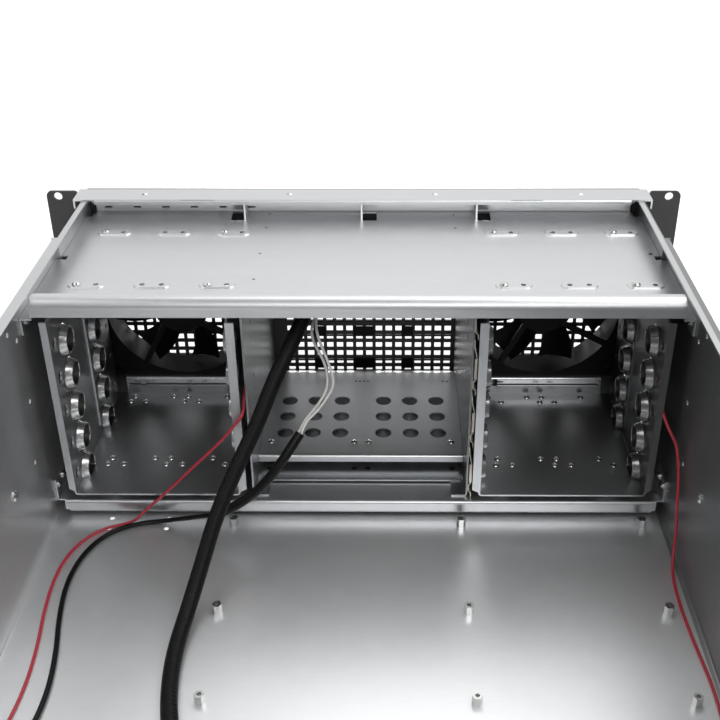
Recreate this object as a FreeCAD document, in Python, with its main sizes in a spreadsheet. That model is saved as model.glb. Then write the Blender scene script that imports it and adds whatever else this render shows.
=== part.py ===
import FreeCAD, Part
import math
import os
import re
from types import SimpleNamespace

# Empty 4U rackmount server case, lid off.  Millimetres.  X runs across the case, +Y points out of
# the front panel, +Z is up, and the origin is the middle of the underside of the whole case.
# Depths are counted backwards from the front edge of the folded body.

os.makedirs("parts", exist_ok=True)
doc = FreeCAD.newDocument("rack_case")

SIZES = {
    # the body and its rack ears
    "panel_width": 482.6, "case_height": 177.0, "body_depth": 508.0, "body_half": 213.0,
    "front_half": 210.0, "joggle_depth": 88.0, "sheet_gauge": 1.2, "bend_radius": 1.0,
    "flange_reach": 204.7, "slip_gap": 0.2, "roof_half": 215.0, "roof_depth": 22.7,
    "ear_gauge": 2.0, "ear_height": 173.4, "ear_notch": 7.5, "rack_hole_x": 232.55,
    "rack_hole_span": 165.1, "rack_hole_radius": 3.2,
    # the tray over the drive bays and the plate under them
    "tray_drop": 16.5, "tray_depth": 177.2, "hump_height": 13.2, "hump_depth": 10.7,
    "hump_radius": 5.5, "pad_rise": 0.9,
    "base_top": 14.3, "base_depth": 173.0, "rail_height": 7.6,
    # the two 3.5 inch cages
    "cage_centre": 138.4, "cage_inside": 111.5, "cage_floor": 26.0, "cage_rear": 180.0,
    "cage_front": 49.8, "outer_post": 4.6, "inner_post": 5.6, "drive_pitch": 25.4,
    "dimple_reach": 4.9, "dimple_rim": 8.9, "dimple_bore": 8.1, "first_drive": 30.8, "near_column": 153.5, "far_column": 91.5,
    # the fans and the brackets that they stand on
    "fan_size": 119.5, "fan_thick": 25.0, "fan_bore": 57.0, "fan_hub": 20.0, "fan_rear": 45.0,
    "fan_hole_pitch": 105.0, "blade_count": 7, "running_gap": 1.2, "bracket_half": 48.0,
    "bracket_rear": 48.6,
    # the middle bay
    "bay_half": 73.8, "bay_flange": 11.0, "bay_rear": 166.6, "bay_pitch": 42.0, "shelf_top": 27.0,
    "shelf_front": 15.0, "shelf_rear": 136.0, "shelf_hole": 6.0, "plate_rear": 151.0,
    # the front panel and its square mesh
    "mesh_pitch_x": 8.0, "mesh_pitch_z": 7.7, "mesh_hole_x": 5.4, "mesh_hole_z": 5.2,
    "mesh_first": 18.65, "mesh_gauge": 1.0, "window_inset": 3.0, "bar_first": 26.7,
    "bar_height": 1.5, "crossbar_height": 3.4,
    # the switches on the front panel
    "io_drop": 25.0, "io_height": 36.0, "io_depth": 14.0, "board_gauge": 1.6,
    "power_radius": 6.0, "reset_radius": 3.0, "button_travel": 1.5, "button_gap": 0.3,
    # the rear
    "slot_pitch": 20.32, "slot_count": 7, "slot_first": 74.0, "standoff_height": 6.5,
    # screws and rivets
    "screw_hole": 1.7, "screw_head": 2.9, "rivet_head": 3.0,
    # leads
    "sleeve_diameter": 10.0, "wire_diameter": 1.8, "lead_diameter": 3.2, "shrink_diameter": 6.4,
    "fan_wire": 2.0,
}

sheet = doc.addObject("Spreadsheet::Sheet", "Sizes")
for row, (alias, value) in enumerate(SIZES.items(), 1):
    sheet.set("A%d" % row, alias)
    sheet.set("B%d" % row, str(value))
    sheet.setAlias("B%d" % row, alias)
doc.recompute()
S = SimpleNamespace(**{alias: sheet.get(alias) for alias in SIZES})

FRONT = "(body_depth - ear_gauge) / 2"
TRAY = "(case_height - tray_drop)"
front = (S.body_depth - S.ear_gauge) / 2
V = FreeCAD.Vector
nodes = []


def bind(item, prop, formula):
    """Ties a property to the sheet: every word with an underscore is a cell's alias."""
    item.setExpression(prop, re.sub(r"[a-z]+(?:_[a-z]+)+", lambda m: "Sizes." + m.group(0), formula))


def y_at(depth):
    """The Y of a depth behind the front edge of the body."""
    return front - depth


# ---- sketches -------------------------------------------------------------------------------
# A loop is a list of corners (x, y) or (x, y, radius), or a circle (x, y, radius) in a tuple.

def corner(before, at, after):
    """The two tangent points and the middle of the arc that rounds a corner."""
    here = V(at[0], at[1], 0)
    a = V(before[0], before[1], 0).sub(here)
    b = V(after[0], after[1], 0).sub(here)
    a.normalize()
    b.normalize()
    half = a.getAngle(b) / 2
    radius = at[2]
    reach = radius / math.tan(half)
    middle = a.add(b)
    middle.normalize()
    centre = here.add(middle * (radius / math.sin(half)))
    return here.add(a * reach), centre.sub(middle * radius), here.add(b * reach)


def edges_of(loop):
    """Line and arc geometry of one loop."""
    if isinstance(loop, tuple):
        return [Part.Circle(V(loop[0], loop[1], 0), V(0, 0, 1), loop[2])]
    count = len(loop)
    arcs = []
    for k, at in enumerate(loop):
        if len(at) == 3 and at[2] > 0:
            arcs.append(corner(loop[k - 1], at, loop[(k + 1) % count]))
        else:
            arcs.append((V(at[0], at[1], 0),))
    edges = []
    for k, arc in enumerate(arcs):
        if len(arc) == 3:
            edges.append(Part.Arc(*arc))
        start = arc[-1]
        end = arcs[(k + 1) % count][0]
        if start.distanceToPoint(end) > 1e-6:
            edges.append(Part.LineSegment(start, end))
    return edges


def rectangle(x0, y0, x1, y1, radius=0):
    """A rectangle, with rounded corners if a radius is given."""
    return [(x0, y0, radius), (x1, y0, radius), (x1, y1, radius), (x0, y1, radius)]


def folded(path, gauge, radius):
    """The section of a sheet bent along a path; the sheet lies on the path's left.

    A point (x, y, radius) sets its own inside radius."""
    count = len(path)
    near = []
    far = []
    for k in range(count):
        ways = []
        for a, b in ((k - 1, k), (k, k + 1)):
            if a >= 0 and b < count:
                way = V(path[b][0] - path[a][0], path[b][1] - path[a][1], 0)
                way.normalize()
                ways.append(way)
        left = [V(-way.y, way.x, 0) for way in ways]
        side = left[0].add(left[-1])
        side = side * (2 * gauge / side.dot(side))
        turn = ways[0].cross(ways[-1]).z
        bend = path[k][2] if len(path[k]) == 3 else radius
        inner = bend if abs(turn) > 1e-6 else 0
        outer = bend + gauge if abs(turn) > 1e-6 else 0
        near.append((path[k][0], path[k][1], outer if turn > 0 else inner))
        far.append((path[k][0] + side.x, path[k][1] + side.y, inner if turn > 0 else outer))
    return near + far[::-1]


def new_body(name):
    """An empty body for one piece, listed for export."""
    body = doc.addObject("PartDesign::Body", name)
    body.Label = name
    nodes.append(body)
    return body


def add_sketch(body, role, offset, loops):
    """A sketch on one of the body's own origin planes, moved along the plane's normal."""
    sketch = body.newObject("Sketcher::SketchObject", body.Name + "_sketch")
    plane = [item for item in body.Origin.OriginFeatures if item.Role == role][0]
    sketch.AttachmentSupport = [(plane, "")]
    sketch.MapMode = "FlatFace"
    bind(sketch, "AttachmentOffset.Base.z", offset)
    geometry = []
    for loop in loops:
        geometry += edges_of(loop)
    sketch.addGeometry(geometry, False)
    return sketch


def pad(body, role, offset, loops, length):
    """Material on a sketch, along its plane's normal."""
    feature = body.newObject("PartDesign::Pad", body.Name + "_pad")
    feature.Profile = add_sketch(body, role, offset, loops)
    bind(feature, "Length", length)
    doc.recompute()
    return feature


def pocket(body, role, offset, loops, length):
    """A cut both ways from a sketch, checked to have taken something away."""
    before = body.Shape.Volume
    profile = add_sketch(body, role, offset, loops)
    feature = body.newObject("PartDesign::Pocket", body.Name + "_pocket")
    feature.Profile = profile
    feature.Midplane = True
    bind(feature, "Length", length)
    doc.recompute()
    if not body.Shape.Volume < before - 0.01:
        raise RuntimeError(body.Name + ": a pocket cuts nothing")
    return feature


def pad_back(body, depth, loops, length):
    """A pad that starts at a depth and runs backwards; loops are in X and Z."""
    return pad(body, "XZ_Plane", "%s - %s" % (depth, FRONT), loops, length)


def mirrored_x(loop):
    """The same loop on the other side of the case."""
    if isinstance(loop, tuple):
        return (-loop[0], loop[1], loop[2])
    return [(-at[0],) + tuple(at[1:]) for at in loop][::-1]


def feature_node(name, solids):
    """A node made with Part's own functions; several solids stay separate."""
    item = doc.addObject("Part::Feature", name)
    item.Label = name
    item.Shape = solids[0] if len(solids) == 1 else Part.makeCompound(solids)
    nodes.append(item)
    return item


def turned(outline, place, axis):
    """A solid of revolution about an axis through a place; outline is radius and height."""
    points = [V(radius, 0, height) for radius, height in outline]
    wire = Part.makePolygon(points + [points[0]])
    solid = Part.Face(wire).revolve(V(0, 0, 0), V(0, 0, 1), 360)
    solid.Placement = FreeCAD.Placement(place, FreeCAD.Rotation(V(0, 0, 1), axis))
    return solid


def slot(x, y, half, radius, upright=False):
    """A round-ended slot."""
    if upright:
        return rectangle(x - radius, y - half, x + radius, y + half, radius * 0.999)
    return rectangle(x - half, y - radius, x + half, y + radius, radius * 0.999)


gauge = S.sheet_gauge
roof_under = S.case_height - gauge
wall_inside = S.body_half - gauge
tray_top = S.case_height - S.tray_drop
front_inside = S.front_half - gauge

# ---- the folded body: floor, two side walls and their top flanges ------------------------------

tub = new_body("chassis_tub")


def tub_section(half):
    """The U of floor and walls with flanges turned in at the top."""
    path = [(-S.flange_reach, roof_under), (-half, roof_under), (-half, 0)]
    path += [(half, 0), (half, roof_under), (S.flange_reach, roof_under)]
    return folded(path, gauge, S.bend_radius)


pad_back(tub, "0", [tub_section(S.front_half)], "joggle_depth")
pad_back(tub, "joggle_depth", [tub_section(S.body_half)], "body_depth - joggle_depth - sheet_gauge")
web = [rectangle(side * front_inside, 0, side * S.body_half, roof_under) for side in (-1, 1)]
pad_back(tub, "joggle_depth - sheet_gauge / 2", web, "sheet_gauge")

board_rows = [S.body_depth - 13.3 - step for step in (0, 154.94, 227.33, 312.42)]
board_columns = (-87.2, 70.3, 194.8)
drain_holes = [(x, y_at(depth), S.screw_hole) for x in (-173.7, -133.8) for depth in (176, 187)]
pocket(tub, "XY_Plane", "0", drain_holes, "4 * sheet_gauge")

wall_holes = [(y_at(depth), height, S.screw_hole)
              for depth, height in ((199, 161), (186, 150), (184.5, 104), (196, 64), (300, 64),
                                    (300, 150), (420, 64), (420, 150))]
pocket(tub, "YZ_Plane", "0", wall_holes, "2 * panel_width")


# ---- the rear panel, between the side walls ----------------------------------------------------

rear_half = wall_inside - S.slip_gap
rear_low = gauge
rear_high = roof_under - gauge
rear = new_body("rear_panel")
rear_face = S.body_depth
rear_path = [(-rear_half, y_at(rear_face - 16)), (-rear_half, y_at(rear_face)),
             (rear_half, y_at(rear_face)), (rear_half, y_at(rear_face - 16))]
pad(rear, "XY_Plane", "sheet_gauge", [folded(rear_path, gauge, S.bend_radius)],
    "case_height - 3 * sheet_gauge")
io_opening = rectangle(-98, 16, 60.75, 60.45, 2)
power_opening = rectangle(-200, 14, -116, 154, 2)
slot_openings = [rectangle(S.slot_first + k * S.slot_pitch - 6.5, 22,
                           S.slot_first + k * S.slot_pitch + 6.5, 122) for k in range(int(S.slot_count))]
vents = [slot(x, 92 + 9 * k, 34, 2.5) for x in (-62, 18) for k in range(7)]
pocket(rear, "XZ_Plane", "body_depth - " + FRONT,
       [io_opening, power_opening] + slot_openings + vents, "6 * sheet_gauge")

# ---- the strip across the top at the front, with its folded rear lip -----------------------------

roof = new_body("roof_strip")
roof_lip = 3.4
roof_flange = 11.0
roof_side = 7.0
lip_path = [(y_at(0), S.case_height), (y_at(S.roof_depth), S.case_height),
            (y_at(S.roof_depth), S.case_height - roof_lip)]
pad(roof, "YZ_Plane", "-flange_reach + 5.5", [folded(lip_path, gauge, S.bend_radius)], "2 * flange_reach - 11")
cap = rectangle(-S.roof_half, y_at(S.roof_depth - gauge), S.roof_half, y_at(0))
pad(roof, "XY_Plane", "case_height - sheet_gauge", [cap], "sheet_gauge")
ends = [rectangle(side * (S.roof_half - gauge), S.case_height - roof_side, side * S.roof_half, S.case_height)
        for side in (-1, 1)]
pad_back(roof, "0", ends, "roof_depth - sheet_gauge")
front_flange = rectangle(-front_inside + 2, S.case_height - roof_flange, front_inside - 2, S.case_height)
pad_back(roof, "0", [front_flange], "sheet_gauge")
notches = [rectangle(x - 12, y_at(S.roof_depth + 1), x + 12, y_at(S.roof_depth - 1.6)) for x in (-122, 122)]
pocket(roof, "XY_Plane", "case_height", notches, "sheet_gauge * 1.2")
roof_rivets = (-163.8, -54.6, 54.6, 163.8)

# ---- the tray over the bays: turned-up front, pressed pads, rolled rear lip ----------------------

tray = new_body("top_tray")
tray_front = 1.6
tray_rear = S.tray_depth
hump_top = tray_top + S.hump_height
tray_upturn = 12.0
hump_run = 3.6
tray_path = [(y_at(tray_front + gauge), tray_top + tray_upturn), (y_at(tray_front + gauge), tray_top),
             (y_at(tray_rear - S.hump_depth - hump_run), tray_top, 1.6 * S.bend_radius),
             (y_at(tray_rear - S.hump_depth), hump_top), (y_at(tray_rear), hump_top, S.hump_radius),
             (y_at(tray_rear), tray_top + 1.0)]
pad(tray, "YZ_Plane", "-flange_reach + slip_gap", [folded(tray_path, gauge, S.bend_radius)],
    "2 * flange_reach - 2 * slip_gap")
tray_under = tray_top - gauge
side_strips = [rectangle(side * (S.flange_reach - 1), y_at(S.joggle_depth - 4),
                         side * (front_inside - S.slip_gap), y_at(14)) for side in (-1, 1)]
pad(tray, "XY_Plane", TRAY + " - sheet_gauge", side_strips, "sheet_gauge")
wide_strips = [rectangle(side * (S.flange_reach - 1), y_at(tray_rear),
                         side * (wall_inside - S.slip_gap), y_at(S.joggle_depth + 2)) for side in (-1, 1)]
pad(tray, "XY_Plane", TRAY + " - sheet_gauge", wide_strips, "sheet_gauge")
hangers = [rectangle(side * (wall_inside - S.slip_gap - gauge), y_at(tray_rear - 0.5),
                     side * (wall_inside - S.slip_gap), y_at(100)) for side in (-1, 1)]
pad(tray, "XY_Plane", TRAY + " - 12", hangers, "12 - sheet_gauge / 2")

pad_columns = (-180.6, -137.0, -93.7, 102.4, 145.7, 189.2)
pad_rows = (45.0, 130.3)
pad_half = 12.3
pad_end = 4.5
pad_slope = 0.8
pads = [slot(x, y_at(depth), pad_half + pad_slope, pad_end + pad_slope) for x in pad_columns for depth in pad_rows]
raised_pads = pad(tray, "XY_Plane", TRAY + " - sheet_gauge / 2", pads, "pad_rise + sheet_gauge / 2")
raised_pads.TaperAngle = -45
doc.recompute()
hollows = [slot(x, y_at(depth), pad_half - gauge, pad_end - gauge) for x in pad_columns for depth in pad_rows]
pocket(tray, "XY_Plane", TRAY + " - sheet_gauge", hollows, "2 * pad_rise")
screw_offset = 6.4
tray_holes = [(x + side * screw_offset, y_at(depth), S.screw_hole)
              for x in pad_columns for depth in pad_rows for side in (-1, 1)]
tray_holes += [(203.0, y_at(depth), 1.6) for depth in (11.1, 80.3)]
tab_windows = [rectangle(x, y_at(21.5), x + 10.5, y_at(5)) for x in (-98.9, 0.2, 86)]
pocket(tray, "XY_Plane", TRAY, tray_holes + tab_windows, "6 * sheet_gauge")
tabs = [rectangle(x, y_at(21), x + gauge, y_at(5.5)) for x in (-88.4, -1.0, 84.8)]
pad(tray, "XY_Plane", TRAY + " - sheet_gauge", tabs, "tray_drop")
tray_slots = [slot(-194.2 + 21.9 * k, tray_top + 3.2, 3.0, 0.7) for k in range(6)]
tray_slots += [(x, tray_top + 8, 2.2) for x in (-46, 0, 45)]
pocket(tray, "XZ_Plane", "2.2 - " + FRONT, tray_slots, "3 * sheet_gauge")
corners = [rectangle(side * 203.5, y_at(7), side * 210, y_at(0)) for side in (-1, 1)]
pocket(tray, "XY_Plane", TRAY, corners, "40")

# ---- the plate under the bays, with bosses that carry the cages ------------------------------------

base = new_body("base_plate")
base_under = S.base_top - gauge
base_front = 3.0
base_path = [(y_at(base_front), S.base_top), (y_at(S.base_depth), S.base_top),
             (y_at(S.base_depth), S.base_top - S.rail_height)]
pad(base, "YZ_Plane", "-flange_reach - 1.4", [folded(base_path, gauge, S.bend_radius)],
    "2 * flange_reach + 2.8")
base_strips = [rectangle(side * (S.flange_reach), y_at(S.base_depth - 2), side * (wall_inside - S.slip_gap),
                         y_at(S.joggle_depth + 2)) for side in (-1, 1)]
pad(base, "XY_Plane", "base_top - sheet_gauge", base_strips, "sheet_gauge")
lugs = [rectangle(side * (wall_inside - S.slip_gap - gauge), y_at(S.base_depth - 2),
                  side * (wall_inside - S.slip_gap), y_at(S.base_depth - 24)) for side in (-1, 1)]
pad(base, "XY_Plane", "base_top - sheet_gauge / 2", lugs, "16 + sheet_gauge / 2")
boss_rise = S.cage_floor - gauge - S.base_top
boss_places = [(side * (S.cage_centre + across), depth)
               for side in (-1, 1) for across in (-38, 38) for depth in (78, 152)]
boss_top = 7.0
boss_foot = 12.0
boss_shells = []
boss_hollows = []
for x, depth in boss_places:
    place = V(x, y_at(depth), base_under)
    boss_shells.append(Part.makeCone(boss_foot, boss_top, boss_rise + gauge, place))
    boss_hollows.append(Part.makeCone(boss_foot - 2 * gauge, boss_top - gauge, boss_rise, place))
nodes.remove(base)
base.Label = "base_sheet"
shells = doc.addObject("Part::Feature", "boss_shells")
shells.Shape = Part.makeCompound(boss_shells)
hollow_tool = doc.addObject("Part::Feature", "boss_hollows")
hollow_tool.Shape = Part.makeCompound(boss_hollows)
raised = doc.addObject("Part::MultiFuse", "base_raised")
raised.Shapes = [base, shells]
pressed = doc.addObject("Part::Cut", "base_pressed")
pressed.Base = raised
pressed.Tool = hollow_tool
pressed.Label = "base_plate"
nodes.append(pressed)
doc.recompute()

# ---- the two 3.5 inch cages: U sheets with drawn grommet holes in both walls -----------------------

cage_half = S.cage_inside / 2
cage_top = tray_under - S.slip_gap
drive_rows = [S.first_drive + k * S.drive_pitch for k in range(5)]


flare = 1.6
post_holes = 171.0
rib_depth = 104.2


def grommet(x, depth, height, inward):
    """A drawn collar: a tapered ring that stands into the cage, and the hole inside it."""
    place = V(x - inward * gauge, y_at(depth), height)
    way = V(inward, 0, 0)
    rim = S.dimple_rim
    reach = S.dimple_reach + gauge
    ring = Part.makeCone(rim + flare, rim, reach, place, way)
    hole = Part.makeCylinder(S.dimple_bore, 2 * reach, place - way, way)
    return ring, hole


def drive_cage(name, centre):
    """One cage about its centre line."""
    sheet_body = new_body(name + "_sheet")
    nodes.remove(sheet_body)
    path = [(centre + cage_half, cage_top), (centre + cage_half, S.cage_floor),
            (centre - cage_half, S.cage_floor), (centre - cage_half, cage_top)]
    pad_back(sheet_body, "cage_front", [folded(path, gauge, S.bend_radius)], "cage_rear - cage_front")
    posts = []
    for side in (-1, 1):
        inner = centre + side * cage_half
        outer = inner + side * (S.outer_post if side * centre > 0 else S.inner_post)
        posts.append([(inner, S.cage_floor + 1), (outer, S.cage_floor + 4), (outer, cage_top),
                      (inner, cage_top)])
    pad_back(sheet_body, "cage_rear - sheet_gauge", posts, "sheet_gauge")
    lip = [(centre - S.bracket_half, S.cage_floor - gauge), (centre + S.bracket_half, S.cage_floor - gauge),
           (centre + S.bracket_half - 1.5, S.cage_floor + 7.2), (centre - S.bracket_half + 1.5, S.cage_floor + 7.2)]
    pad_back(sheet_body, "cage_front", [lip], "sheet_gauge")
    floor_holes = []
    for depth, columns in ((56, (-40.4, -10.2, 1.1, 31.8)), (63, (-42.6, -30.9, -0.9, 10.5)),
                           (138.2, (-40.3, -9.5, 1.9, 32.1)), (145.6, (-42.1, -30.6, -0.2, 11.4, 41.7))):
        floor_holes += [(centre + x, y_at(depth), S.screw_hole) for x in columns]
    pocket(sheet_body, "XY_Plane", "cage_floor", floor_holes, "6 * sheet_gauge")
    wall_marks = [(y_at(post_holes), S.first_drive + 7 + k * S.drive_pitch, 4.0) for k in range(5)]
    wall_marks += [(y_at(56), S.first_drive + 7.3 + k * S.drive_pitch, 2.2) for k in range(5)]
    pocket(sheet_body, "YZ_Plane", "%s%s" % ("-" if centre < 0 else "", "cage_centre"), wall_marks,
           "2 * cage_inside")
    rib = [rectangle(centre + side * cage_half, y_at(rib_depth + 2), centre + side * (cage_half - 0.8),
                     y_at(rib_depth - 2)) for side in (-1, 1)]
    pad(sheet_body, "XY_Plane", "cage_floor + 6", rib, "case_height - tray_drop - cage_floor - 12")
    rings = []
    holes = []
    for side in (-1, 1):
        for depth in (S.near_column, S.far_column):
            for height in drive_rows:
                ring, hole = grommet(centre + side * cage_half, depth, height, -side)
                rings.append(ring)
                holes.append(hole)
    keep = Part.makeBox(2 * S.cage_inside, S.body_depth, S.case_height,
                        V(centre - S.cage_inside, y_at(S.body_depth), S.cage_floor - gauge / 2))
    collars = doc.addObject("Part::Feature", name + "_collars")
    collars.Shape = Part.makeCompound([ring.common(keep) for ring in rings])
    bores = doc.addObject("Part::Feature", name + "_bores")
    keep_above = keep.copy()
    keep_above.translate(V(0, 0, gauge / 2))
    bores.Shape = Part.makeCompound([hole.common(keep_above) for hole in holes])
    drawn = doc.addObject("Part::MultiFuse", name + "_drawn")
    drawn.Shapes = [sheet_body, collars]
    cage = doc.addObject("Part::Cut", name)
    cage.Base = drawn
    cage.Tool = bores
    cage.Label = name
    nodes.append(cage)
    doc.recompute()
    return cage


drive_cage("left_drive_cage", -S.cage_centre)
drive_cage("right_drive_cage", S.cage_centre)

# ---- fan brackets: channels that carry the fans and close the cages in front ------------------------

ledge_top = tray_under - S.slip_gap - S.fan_size - S.slip_gap


def fan_bracket(name, centre):
    """A channel on the base plate with a hook slot in its rear face."""
    body = new_body(name)
    path = [(y_at(S.bracket_rear), S.base_top), (y_at(S.bracket_rear), ledge_top),
            (y_at(S.fan_rear - S.fan_thick - 2), ledge_top), (y_at(S.fan_rear - S.fan_thick - 2), S.base_top)]
    sign = "-" if centre < 0 else ""
    pad(body, "YZ_Plane", sign + "cage_centre - bracket_half", [folded(path[::-1], gauge, S.bend_radius)],
        "2 * bracket_half")
    x = centre - 35
    low = S.cage_floor + 7.4
    hook_slot = [(x - 6.5, low + 1.4), (x - 2, low + 1.4), (x - 2, low - 1), (x + 2, low - 1), (x + 2, low + 1.4),
                 (x + 6.5, low + 1.4), (x + 6.5, low + 2.8), (x + 2, low + 2.8), (x + 2, low + 4.4),
                 (x - 2, low + 4.4), (x - 2, low + 2.8), (x - 6.5, low + 2.8)]
    pocket(body, "XZ_Plane", "bracket_rear - " + FRONT, [hook_slot], "4 * sheet_gauge")
    return body


fan_bracket("left_fan_bracket", -S.cage_centre)
fan_bracket("right_fan_bracket", S.cage_centre)

# ---- 120 mm fans: frame with four struts and a motor seat, rotor with swept blades -------------------

fan_half = S.fan_size / 2
fan_height = ledge_top + fan_half
fan_front = S.fan_rear - S.fan_thick
seat_thick = 3.0
rotor_gap = 0.6
shaft_radius = 1.5
shaft_play = 0.05


def fan_frame(name, centre):
    """A square frame with a round throat, waisted between its two flanges."""
    body = new_body(name)
    square = rectangle(centre - fan_half, fan_height - fan_half, centre + fan_half, fan_height + fan_half, 4)
    throat = (centre, fan_height, S.fan_bore)
    pad_back(body, "fan_rear - fan_thick", [square, throat], "fan_thick")
    reach = fan_half - 9
    waists = [rectangle(centre + a * reach, fan_height + b * reach, centre + a * (fan_half + 5),
                        fan_height + b * (fan_half + 5)) for a in (-1, 1) for b in (-1, 1)]
    pocket(body, "XZ_Plane", "fan_rear - fan_thick / 2 - " + FRONT, waists, "fan_thick - 8")
    pitch = S.fan_hole_pitch / 2
    holes = [(centre + a * pitch, fan_height + b * pitch, 2.2) for a in (-1, 1) for b in (-1, 1)]
    pocket(body, "XZ_Plane", "fan_rear - fan_thick / 2 - " + FRONT, holes, "2 * fan_thick")
    seat = (centre, fan_height, S.fan_hub + 1)
    pad_back(body, "fan_rear - 3", [seat], "3")
    slant = math.radians(12)
    for k in range(4):
        angle = math.radians(45 + 90 * k)
        near = V(math.cos(angle), math.sin(angle), 0) * (S.fan_hub - 2)
        far = V(math.cos(angle + slant), math.sin(angle + slant), 0) * (S.fan_bore + 1.5)
        along = far.sub(near)
        along.normalize()
        side = V(-along.y, along.x, 0) * 2.1
        strut = [near.add(side), near.sub(side), far.sub(side), far.add(side)]
        pad_back(body, "fan_rear - 3", [[(centre + p.x, fan_height + p.y) for p in strut]], "3")
    bearing = (centre, fan_height, shaft_radius + shaft_play)
    pocket(body, "XZ_Plane", "fan_rear - 1.5 - " + FRONT, [bearing], "6")
    return body


def blade(angle):
    """A swept, pitched blade, lofted from the hub to the tip; the fan's axis is Y."""
    sections = []
    reach = S.fan_bore - S.running_gap
    for radius, chord, pitch, sweep in ((S.fan_hub - 2, 18.0, 50.0, 0.0), (36.0, 24.0, 40.0, 4.0),
                                        (reach - 3.2, 29.0, 31.0, 12.0)):
        half = chord / 2
        lift = chord * 0.1
        thick = 1.0
        turn = math.radians(pitch)
        swing = math.radians(sweep)
        out = V(math.sin(swing), 0, math.cos(swing)) * radius
        across = V(math.cos(swing), 0, -math.sin(swing))
        corners = []
        for run, bow in ((-half, 0), (0, lift), (half, 0), (half, thick), (0, lift + thick), (-half, thick)):
            flat = run * math.cos(turn) - bow * math.sin(turn)
            rise = run * math.sin(turn) + bow * math.cos(turn)
            corners.append(out.add(across * flat).add(V(0, rise, 0)))
        lower = Part.Arc(corners[0], corners[1], corners[2]).toShape()
        tip = Part.makeLine(corners[2], corners[3])
        upper = Part.Arc(corners[3], corners[4], corners[5]).toShape()
        root = Part.makeLine(corners[5], corners[0])
        sections.append(Part.Wire([lower, tip, upper, root]))
    solid = Part.makeLoft(sections, True, False)
    solid.rotate(V(0, 0, 0), V(0, 1, 0), angle)
    return solid


def fan_rotor(name, centre):
    """The hub cup with its blades, running clear of the throat and of the motor seat."""
    back = y_at(S.fan_rear - seat_thick - rotor_gap)
    depth = S.fan_thick - seat_thick - rotor_gap - 1.5
    hub = Part.makeCylinder(S.fan_hub, depth, V(0, 0, 0), V(0, 1, 0))
    rim = [edge for edge in hub.Edges if abs(edge.CenterOfMass.y - depth) < 0.01 and edge.Length > 20]
    hub = hub.makeFillet(2.0, rim)
    solid = hub
    for k in range(int(S.blade_count)):
        wing = blade(360.0 * k / S.blade_count)
        wing.translate(V(0, depth / 2, 0))
        solid = solid.fuse(wing)
    shaft = Part.makeCylinder(shaft_radius, seat_thick + rotor_gap, V(0, -seat_thick - rotor_gap, 0), V(0, 1, 0))
    solid = solid.fuse(shaft).removeSplitter()
    solid.translate(V(centre, back, fan_height))
    return feature_node(name, [solid])


for side_name, centre in (("left", -S.cage_centre), ("right", S.cage_centre)):
    fan_frame(side_name + "_fan_frame", centre)
    fan_rotor(side_name + "_fan_rotor", centre)

# ---- the middle bay: two C walls, the perforated shelf, the plate below, leaf springs ------------------

bay_outer = S.bay_half + gauge


def bay_wall(name, side):
    """A wall with flanges turned in under the tray and over the base plate."""
    body = new_body(name)
    path = [(-bay_outer + S.bay_flange, cage_top), (-bay_outer, cage_top), (-bay_outer, S.base_top),
            (-bay_outer + S.bay_flange, S.base_top)]
    section = folded(path, gauge, S.bend_radius)
    if side > 0:
        section = mirrored_x(section)
    pad_back(body, "2", [section], "bay_rear - 2")
    slots = []
    for k in range(3):
        low = S.shelf_top + k * S.bay_pitch
        slots += [(y_at(depth), low + rise, S.screw_hole) for depth in (50, 129) for rise in (10, 21.8)]
    sign = "" if side > 0 else "-"
    pocket(body, "YZ_Plane", sign + "(bay_half + sheet_gauge / 2)", slots, "4 * sheet_gauge")
    return body


bay_wall("middle_cage_left_wall", -1)
bay_wall("middle_cage_right_wall", 1)

shelf = new_body("drive_shelf")
shelf_lip = 5.5
nose_run = 5.7
nose_drop = 1.2
shelf_path = [(y_at(S.shelf_front), S.shelf_top - shelf_lip), (y_at(S.shelf_front), S.shelf_top - nose_drop),
              (y_at(S.shelf_front + nose_run), S.shelf_top),
              (y_at(S.shelf_rear), S.shelf_top), (y_at(S.shelf_rear), S.shelf_top - shelf_lip)]
pad(shelf, "YZ_Plane", "-bay_half + slip_gap", [folded(shelf_path, gauge, S.bend_radius)],
    "2 * bay_half - 2 * slip_gap")
skirts = [rectangle(side * (S.bay_half - S.slip_gap - gauge), y_at(S.shelf_rear - 4),
                    side * (S.bay_half - S.slip_gap), y_at(S.shelf_front + nose_run + 2)) for side in (-1, 1)]
pad(shelf, "XY_Plane", "shelf_top - 8", skirts, "8 - sheet_gauge / 2")
vent_holes = [(side * x, y_at(depth), S.shelf_hole) for side in (-1, 1) for x in (16, 36.4, 56.8)
              for depth in (63.2, 85.3, 107.2)]
fixing_holes = [(side * x, y_at(depth), 1.5) for side in (-1, 1) for x, depth in ((66, 119), (5.2, 119))]
pocket(shelf, "XY_Plane", "shelf_top", vent_holes + fixing_holes, "4 * sheet_gauge")

bay_plate = new_body("middle_cage_plate")
plate_half = S.bay_half - gauge - 2 * S.bend_radius
pad(bay_plate, "XY_Plane", "base_top + sheet_gauge",
    [rectangle(-plate_half, y_at(S.plate_rear), plate_half, y_at(20))], "sheet_gauge")
plate_holes = [(side * x, y_at(137.3), 1.8) for side in (-1, 1) for x in (66, 4.8)]
pocket(bay_plate, "XY_Plane", "base_top + sheet_gauge", plate_holes, "4 * sheet_gauge")

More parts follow.
